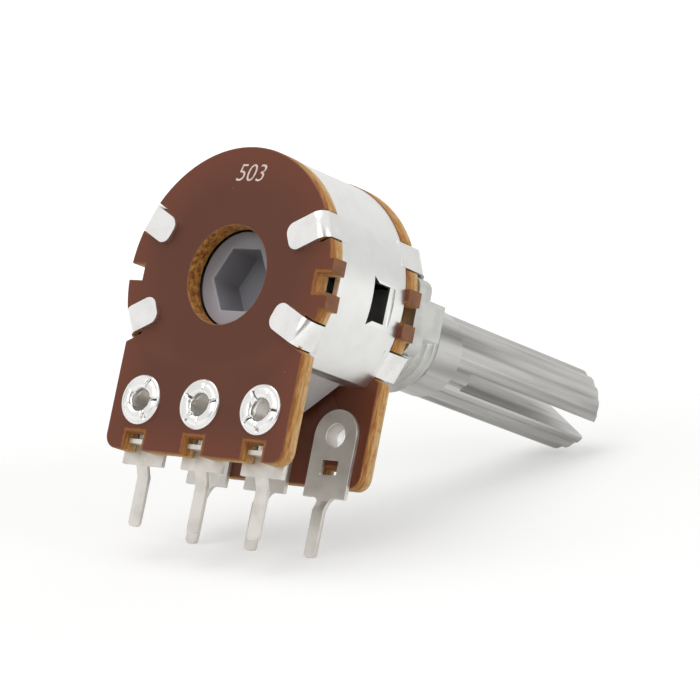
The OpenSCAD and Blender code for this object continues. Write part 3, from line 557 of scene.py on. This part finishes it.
# %% [markdown]
# Welding a copy. A CAD node arrives as loose triangles, which can't be bevelled. A copy is
# welded, its flat triangles are joined to whole faces, and its crisp edges get the small
# radius that a press, a mould or a tumbler leaves, because no real edge is perfectly sharp
# and the thin highlight along it is what the eye reads as metal.

# %% Helpers for meshes
NEAR, HAIR = 0.01 * MM, 0.001 * MM


def welded_copy(node):
    bm = bmesh.new()
    bm.from_mesh(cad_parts[node].data)
    bmesh.ops.remove_doubles(bm, verts=bm.verts, dist=0.0005 * MM)
    bmesh.ops.dissolve_limit(bm, angle_limit=math.radians(0.5), verts=bm.verts, edges=bm.edges)
    return bm


def round_off(bm, edges, width_mm, segments):
    bmesh.ops.bevel(bm, geom=edges, offset=width_mm * MM, offset_type="OFFSET", affect="EDGES",
                    segments=segments, profile=0.5, material=-1, clamp_overlap=True)


def soften(bm, width_mm, crisp_degrees=28, segments=2, where=None):
    """Rounds the edges that fold by more than crisp_degrees."""
    crisp = [e for e in bm.edges
             if e.is_manifold and e.calc_face_angle(0) > math.radians(crisp_degrees)
             and (where is None or where(e))]
    round_off(bm, crisp, width_mm, segments)
    return len(crisp)


def reach(place):
    """How far a place is from the shaft's axis, in metres."""
    return math.hypot(place.x, place.z)


def finish_piece(bm, name, body, materials, nodes, smooth_degrees=35):
    """Turns a bmesh into a piece that rides on a body and stands for CAD nodes."""
    mesh = bpy.data.meshes.new(name)
    for face in bm.faces:
        face.smooth = True
    bm.to_mesh(mesh)
    bm.free()
    mesh.set_sharp_from_angle(angle=math.radians(smooth_degrees))
    for material in materials:
        mesh.materials.append(material)
    piece = bpy.data.objects.new(name, mesh)
    bpy.context.scene.collection.objects.link(piece)
    weighted = piece.modifiers.new("even_flats", "WEIGHTED_NORMAL")
    weighted.keep_sharp = True
    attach(piece, body)
    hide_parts(*nodes)
    print(f"{name}: {len(mesh.polygons)} faces")


print("CAD triangles:", sum(len(node.data.polygons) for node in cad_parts.values()))

# %% [markdown]
# Wafers. A punch rounds the edge where it goes in. The faces keep the brown lacquer, the
# rounded edge keeps a thin coat, and the punched wall is torn phenolic, so the mesh gets three
# materials, chosen by how far each face leans away from the flat. The end of the side lug
# was lacquered with the face.

# %% Wafers
EDGE_RADIUS, LUG_END = 0.15, 0.05
FLAT, LEANING = 0.985, 0.5
COATED, THINLY_COATED, BARE = 0, 1, 2


def wafer(name):
    bm = welded_copy(name)
    _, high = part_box(name)
    crisp = soften(bm, EDGE_RADIUS, segments=3)
    for face in bm.faces:
        lean = abs(face.normal.y)
        on_lug_end = face.calc_center_median().x > high.x - LUG_END * MM
        if lean > FLAT:
            face.material_index = COATED
        elif lean > LEANING or on_lug_end:
            face.material_index = THINLY_COATED
        else:
            face.material_index = BARE
    finish_piece(bm, name + "_punched", HOUSING, [lacquer, thin_lacquer, torn], [name])
    print(name, "softened edges:", crisp)


for name in ("front_wafer", "rear_wafer"):
    wafer(name)

# %% [markdown]
# Can. It is pressed from tin-plated strip: the wall is rolled, eight tabs are folded over the
# wafers, and a tongue is lanced inwards as the rotation stop. The fold stretches the plating
# brighter on the tabs, so their faces get the bright finish, while the slanted lower walls,
# drawn in hardest, turn matt. The wall is cut where the tabs begin, so that the finish can
# change there.

# %% Can
PRESSED_EDGE, SQUARE_ON = 0.05, 0.99
WALL, TABS, SLANTED = 0, 1, 2
rear_face_y, rear_inner_y = (corner.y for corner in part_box("rear_wafer"))
front_inner_y, front_face_y = (corner.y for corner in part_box("front_wafer"))
bm = welded_copy("can")
soften(bm, PRESSED_EDGE, crisp_degrees=40)
for plane_y in (rear_inner_y, front_inner_y):
    bmesh.ops.bisect_plane(bm, geom=bm.verts[:] + bm.edges[:] + bm.faces[:], dist=1e-7,
                           plane_co=(0, plane_y, 0), plane_no=(0, 1, 0))
for face in bm.faces:
    middle = face.calc_center_median()
    facing = Vector((abs(face.normal.x), 0, -face.normal.z)) @ ACROSS_BELLY
    out = Vector((abs(middle.x), 0, -middle.z)) @ ACROSS_BELLY
    if not rear_inner_y < middle.y < front_inner_y:
        face.material_index = TABS
    elif facing > SQUARE_ON and out < BELLY_OUTER * MM:
        face.material_index = SLANTED
    else:
        face.material_index = WALL
print("slanted can faces:", sum(face.material_index == SLANTED for face in bm.faces))
finish_piece(bm, "can_pressed", HOUSING, [tin_plate, bright_tin, drawn_tin], ["can"],
             smooth_degrees=62)

# %% [markdown]
# Flares. Each rivet is a tube drawn from the terminal's own strip, pushed through the wafer
# and flared by a star punch, which splits the rim into petals. The flare could be cut with
# booleans, but it is made as a profile spun round the rivet, with a groove between its petals
# and its rim, and the splits are pressed into the spun mesh, deeper towards the bore. The
# deeper splits are painted dark grey, a painted shade in their crevices.

# %% Flares
PETALS = 5
FLARE_STEPS = 144
# Radius and height over the wafer's face, from the bore to the foot of the rim
FLARE_PROFILE = [(0.74, -0.4), (0.7, 0.0), (0.74, 0.14), (0.86, 0.24), (1.03, 0.28), (1.2, 0.25),
                 (1.33, 0.17), (1.39, 0.14), (1.46, 0.17), (1.53, 0.15), (1.59, 0.08), (1.6, 0.0), (1.0, 0.0)]
# A split has one of these depths, and those deeper than SPLIT_SHADE_DEPTH get the painted shade
SPLIT_DEPTHS, SPLIT_SHADE_DEPTH, SPLIT_WIDTH = (0.06, 0.3, 0.5), 0.2, 0.075
SPLIT_DRIFT, PETAL_LIFT = 0.25, (-0.04, 0.05)
# The petals' outer radius, the width over which they fade there, and what stays as a foot
PETAL_END, PETAL_FADE, FOOT = 1.42, 0.14, 0.01
# The star pushes the lip inside this radius in and out by this much
BORE_LIP, STAR_REACH = 1.0, 0.035
# Painted shade in a deep split: from this radius to that, and within this width of the split
SPLIT_SHADE_FROM, SPLIT_SHADE_TO, SPLIT_SHADE_WIDTH = 0.8, 1.4, 0.05
# The flare's slots: bright tin, and the painted shade in the splits
BRIGHT, SPLIT_SHADE = 1, 2


def turn_between(angle, other):
    """The turn from one angle to another, the short way round."""
    return (angle - other + math.pi) % math.tau - math.pi


def flare(bm, middle, face_y, outwards, seed):
    """Spins a star-punched flare on a wafer face. outwards is -1 where the face looks to -Y."""
    chance = random.Random(seed)
    line = [bm.verts.new((middle.x + r * MM, face_y + outwards * h * MM, middle.z))
            for r, h in FLARE_PROFILE]
    edges = [bm.edges.new(pair) for pair in zip(line, line[1:])]
    before = set(bm.verts)
    bmesh.ops.spin(bm, geom=line + edges, cent=middle, axis=(0, 1, 0), dvec=(0, 0, 0),
                   angle=math.tau, steps=FLARE_STEPS, use_merge=True, use_duplicate=False)
    spun = line + [v for v in bm.verts if v not in before]
    splits = [math.tau * (i + chance.uniform(-SPLIT_DRIFT, SPLIT_DRIFT)) / PETALS for i in range(PETALS)]
    depths = [chance.choice(SPLIT_DEPTHS) for _ in splits]
    lifts = [chance.uniform(*PETAL_LIFT) for _ in splits]
    for v in spun:
        out = Vector((v.co.x - middle.x, 0, v.co.z - middle.z))
        r, angle = out.length / MM, math.atan2(out.z, out.x)
        above = outwards * (v.co.y - face_y) / MM
        if above < FOOT:
            continue
        on_petal = max(0.0, min(1.0, (PETAL_END - r) / PETAL_FADE))
        for split, depth, lift in zip(splits, depths, lifts):
            apart = turn_between(angle, split)
            dent = depth * math.exp(-((apart * r / SPLIT_WIDTH) ** 2))
            tilt = lift * math.sin(PETALS * apart / 2) if 0 < apart < math.tau / PETALS else 0.0
            v.co.y -= outwards * min(above - FOOT / 2, (dent - tilt) * on_petal) * MM
        if r < BORE_LIP:
            corner = math.cos(PETALS / 2 * (angle - splits[0]))
            v.co += out.normalized() * STAR_REACH * corner * MM
    faces = list({f for v in spun for f in v.link_faces})
    bmesh.ops.recalc_face_normals(bm, faces=faces)
    for face in faces:
        out = face.calc_center_median() - middle
        r, angle = reach(out) / MM, math.atan2(out.z, out.x)
        # Faces inside the deep splits get the painted shade
        gaps = [abs(turn_between(angle, split)) * r
                for split, depth in zip(splits, depths) if depth > SPLIT_SHADE_DEPTH]
        in_shaded_split = SPLIT_SHADE_FROM < r < SPLIT_SHADE_TO and min(gaps, default=1.0) < SPLIT_SHADE_WIDTH
        face.material_index = SPLIT_SHADE if in_shaded_split else BRIGHT


print("a flare has", FLARE_STEPS * (len(FLARE_PROFILE) - 1), "faces and", PETALS, "petals")

# %% [markdown]
# Terminals. Each is cut from tinned brass strip, with a hook folded into the wafer's notch and
# a stepped pin. The CAD model's plain rivet head is taken off and the flare takes its place.
# The mouth of the tube and the bend of the hook get the larger radius that drawing leaves.

# %% Terminals
BORE_R, BORE_SLACK, STRIP_T, HEAD_R = 0.75, 0.02, 0.3, 1.7
MOUTH_RADIUS, BEND_RADIUS, STRIP_EDGE = 0.08, 0.22, 0.045
# How far below the rivet and to each side of it the hook's edges are, and their fold in radians
HOOK_DROP, HOOK_HALF_WIDTH, SHARP_FOLD = 3.2, 0.7, 1.0


def terminal(side, index, face_y, inner_y, outwards):
    name = f"{side}_terminal_{index}"
    low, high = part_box(name)
    bm = welded_copy(name)
    beyond = [v for v in bm.verts if outwards * (v.co.y - face_y) > HAIR]
    bmesh.ops.delete(bm, geom=beyond, context="VERTS")
    rivet = Vector(((low.x + high.x) / 2, 0, high.z - HEAD_R * MM))
    strip_y = inner_y - outwards * STRIP_T * MM

    def on_strip(edge):
        return all(abs(v.co.y - strip_y) < NEAR for v in edge.verts)

    def at_mouth(edge):
        return on_strip(edge) and all(reach(v.co - rivet) < (BORE_R + BORE_SLACK) * MM for v in edge.verts)

    def on_hook(edge):
        return (on_strip(edge) and not at_mouth(edge)
                and edge.is_manifold and edge.calc_face_angle(0) > SHARP_FOLD
                and all(rivet.z - HOOK_DROP * MM < v.co.z < rivet.z for v in edge.verts)
                and all(abs(v.co.x - rivet.x) < HOOK_HALF_WIDTH * MM for v in edge.verts))

    soften(bm, MOUTH_RADIUS, segments=3, where=at_mouth)
    hook_edges = [e for e in bm.edges if on_hook(e)]
    if hook_edges:
        bottom = min(v.co.z for e in hook_edges for v in e.verts)
        bend = [e for e in hook_edges if all(abs(v.co.z - bottom) < NEAR for v in e.verts)]
        round_off(bm, bend, BEND_RADIUS, 4)
    soften(bm, STRIP_EDGE, crisp_degrees=40)
    flare(bm, rivet, face_y, outwards, seed=10 * index + (outwards > 0))
    finish_piece(bm, name + "_formed", HOUSING, [terminal_tin, bright_tin, painted_split_shade],
                 [name])


for index in (1, 2, 3):
    terminal("rear", index, rear_face_y, rear_inner_y, -1)
    terminal("front", index, front_face_y, front_inner_y, 1)

# %% [markdown]
# Thread. The bushing carries an M7 x 0.75 thread. It could be a bump, but its crests show in
# outline, so it is a real helix: one tooth's profile is spun with a step along the axis,
# trimmed to the bushing's length and chamfered by pulling in the crests near the end.

# %% Thread
PITCH_OF_THREAD = 0.75
CREST_R, ROOT_R = 3.5, 3.04
CHAMFER = 0.4
THREAD_STEPS = 64
# Radius and place along the axis, from one root to the next
TOOTH = [(ROOT_R, 0), (ROOT_R, 0.1), (CREST_R - 0.02, 0.34), (CREST_R, 0.37), (CREST_R, 0.42),
         (CREST_R - 0.02, 0.45), (ROOT_R, PITCH_OF_THREAD - 0.06), (ROOT_R, PITCH_OF_THREAD)]
THREAD_START = -0.3
bushing_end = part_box("mounting_plate")[1].y / MM


def add_thread(bm):
    start = -2 * PITCH_OF_THREAD
    turns = math.ceil((bushing_end - start) / PITCH_OF_THREAD) + 1
    line = [bm.verts.new((r * MM, (start + y) * MM, 0)) for r, y in TOOTH]
    edges = [bm.edges.new(pair) for pair in zip(line, line[1:])]
    before = set(bm.faces)
    bmesh.ops.spin(bm, geom=line + edges, cent=(0, 0, 0), axis=(0, 1, 0),
                   dvec=(0, PITCH_OF_THREAD * MM / THREAD_STEPS, 0),
                   angle=math.tau * turns, steps=THREAD_STEPS * turns, use_merge=False)
    helix = [f for f in bm.faces if f not in before]
    verts = list({v for f in helix for v in f.verts})
    bmesh.ops.remove_doubles(bm, verts=verts, dist=0.002 * MM)
    for cut, keep in ((THREAD_START, 1), (bushing_end, -1)):
        helix = [f for f in bm.faces if f not in before]
        geom = helix + list({e for f in helix for e in f.edges}) + list({v for f in helix for v in f.verts})
        bmesh.ops.bisect_plane(bm, geom=geom, dist=1e-8, plane_co=(0, cut * MM, 0),
                               plane_no=(0, -keep, 0), clear_outer=True)
    helix = [f for f in bm.faces if f not in before]
    for v in {v for f in helix for v in f.verts}:
        limit = CREST_R - max(0.0, v.co.y / MM - (bushing_end - CHAMFER))
        r = reach(v.co) / MM
        if r > limit:
            v.co.x *= limit / r
            v.co.z *= limit / r
    bmesh.ops.recalc_face_normals(bm, faces=helix)
    return len(helix)


print("thread: M7 x", PITCH_OF_THREAD, "up to", round(bushing_end, 2), "mm")

# %% [markdown]
# Plate and bushing. They are one zinc die casting. The CAD model's bushing is as wide as the
# thread's crests, so the copy's bushing is drawn in to just under the thread's root, and the
# thread is laid round it.

# %% Plate with a threaded bushing
CAST_EDGE, PLATE_REACH = 0.08, 2.0
BARREL_FROM, BARREL_TO, UNDER_ROOT = 2.7, 3.65, 0.02
bm = welded_copy("mounting_plate")
soften(bm, CAST_EDGE, crisp_degrees=40, where=lambda e: max(v.co.y for v in e.verts) < PLATE_REACH * MM)
for v in bm.verts:
    r = reach(v.co) / MM
    if v.co.y > -HAIR and BARREL_FROM < r < BARREL_TO:
        v.co.x *= (ROOT_R - UNDER_ROOT) / r
        v.co.z *= (ROOT_R - UNDER_ROOT) / r
print("thread faces:", add_thread(bm))
finish_piece(bm, "mounting_plate_cast", HOUSING, [cast_zinc], ["mounting_plate"])

# %% [markdown]
# Shaft. It is turned from aluminium bar, knurled, and split by a saw. Only its edges need
# softening: rolling leaves round crests on the knurl, and tumbling takes the burr off the slot.

# %% Shaft
KNURL_RADIUS = 0.07
bm = welded_copy("shaft")
soften(bm, KNURL_RADIUS, crisp_degrees=24)
finish_piece(bm, "shaft_knurled", TURNING, [turned_alloy], ["shaft"])

# %% [markdown]
# Rotor. It is seen through the wafer's hole, where its hub has a hexagonal recess, and through
# the can's window, where its disc shows dark. A mould leaves a larger radius at the mouth of
# the recess than elsewhere, and the light catches it, so the mouth is rounded first.

# %% Rotor
HUB_R, RECESS_REACH = 3.15 * MM, 2.9 * MM
RECESS_RADIUS, MOULDED_RADIUS = 0.13, 0.06
HUB, RIM = 0, 1
bm = welded_copy("rotor")
hub_face_y = min(v.co.y for v in bm.verts)


def at_recess_mouth(edge):
    return all(v.co.y < hub_face_y + NEAR and reach(v.co) < RECESS_REACH for v in edge.verts)


print("edges round the recess:", soften(bm, RECESS_RADIUS, segments=5, where=at_recess_mouth))
soften(bm, MOULDED_RADIUS, crisp_degrees=30)
disc_rear = min(v.co.y for v in bm.verts if reach(v.co) > HUB_R)
disc_front = max(v.co.y for v in bm.verts if reach(v.co) > HUB_R)
# Rim faces get the nearly black painted shade, the hub its painted light and shade
for face in bm.faces:
    middle = face.calc_center_median()
    on_rim = reach(middle) > HUB_R and disc_rear + 1e-6 < middle.y < disc_front + 1e-6
    face.material_index = RIM if on_rim else HUB
finish_piece(bm, "rotor_moulded", TURNING, [rotor_plastic, shade_disc],
             ["rotor"])

# %% [markdown]
# Sealed pieces. The printed layers, the wipers and the retaining ring keep their CAD shapes,
# which are already right, and get their real finishes.

# %% Finishes of the sealed pieces
SEALED = {
    "resistive_track": carbon_ink,
    "collector_ring": silver_ink,
    "end_pads": silver_ink,
    "retaining_ring": spring_steel,
    "wiper": spring_bronze,
}
for name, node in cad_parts.items():
    for ending, material in SEALED.items():
        if name.endswith(ending):
            for material_slot in node.material_slots:
                material_slot.material = material
print("finished in place:", sum(name.endswith(tuple(SEALED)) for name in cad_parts))

# %% [markdown]
# Number. The rear wafer carries a white screen-printed value code. Text is a curve, so it is
# made a mesh before it is turned and placed, and its letters are a thin raised film.

# %% Printed number
NUMBER, NUMBER_HEIGHT, SLANT = "503", 1.6, 0.3
NUMBER_X, NUMBER_Z = 0.25, 6.5
STROKE_TRIM, HALF_FILM = 0.012, 0.006
text = bpy.data.curves.new("value_code", "FONT")
text.body = NUMBER
text.size, text.shear = NUMBER_HEIGHT * MM, SLANT
text.align_x, text.align_y = "CENTER", "CENTER"
text.offset = -STROKE_TRIM * MM
text.extrude = HALF_FILM * MM
letters = bpy.data.objects.new("value_code_text", text)
bpy.context.scene.collection.objects.link(letters)
print_mesh = bpy.data.meshes.new_from_object(letters.evaluated_get(bpy.context.evaluated_depsgraph_get()))
bpy.data.objects.remove(letters)
number = bpy.data.objects.new("printed_number", print_mesh)
bpy.context.scene.collection.objects.link(number)
print_mesh.transform(Matrix.Translation((NUMBER_X * MM, rear_face_y, NUMBER_Z * MM))
                     @ Matrix.Rotation(math.radians(90), 4, "X"))
print_mesh.materials.clear()
print_mesh.materials.append(white_ink)
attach(number, HOUSING)
print("number faces:", len(print_mesh.polygons))

# %% [markdown]
# Closing. The size of the CAD box is printed.

# %% Sizes and finish
print("CAD size, mm:", [round(c / MM, 2) for c in cad_high - cad_low])
